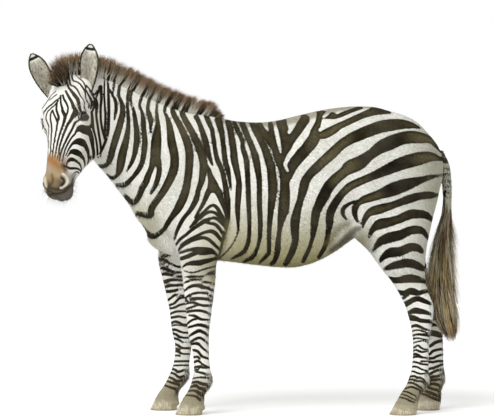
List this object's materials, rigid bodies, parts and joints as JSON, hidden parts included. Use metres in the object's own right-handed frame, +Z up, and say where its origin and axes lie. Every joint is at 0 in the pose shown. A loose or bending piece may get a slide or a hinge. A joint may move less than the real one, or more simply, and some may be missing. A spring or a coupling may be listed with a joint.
{
  "type": "plains zebra, still life-size model",
  "caption": "Life-size still model of a standing plains zebra, head turned to its left, with striped short coat, upright mane, cupped ears and tufted tail.",
  "frame": {"origin": "On the floor, under the middle of the bounding box of the whole animal", "axes": "+Z is up, the animal faces along -Y and +X is its left side, towards which its head is turned"},
  "size_m": [0.6136, 1.8914, 1.6202],
  "materials": {
    "coat": "short sleek hair, off-white with black-brown stripes",
    "hair": "long coarse hair of the mane and the tail",
    "horn": "grey-beige hoof horn with fine rings",
    "eye": "wet and glossy, dark brown"
  },
  "bodies": {
    "root": {"head": "coat", "neck": "coat", "trunk": "coat", "ear_left": "coat", "ear_right": "coat", "foreleg_left": "coat", "foreleg_right": "coat", "hindleg_left": "coat", "hindleg_right": "coat", "tail": "coat", "mane": "hair", "tail_tuft": "hair", "hoof_fore_left": "horn", "hoof_fore_right": "horn", "hoof_hind_left": "horn", "hoof_hind_right": "horn", "eye_left": "eye", "eye_right": "eye"}
  },
  "joints": []
}
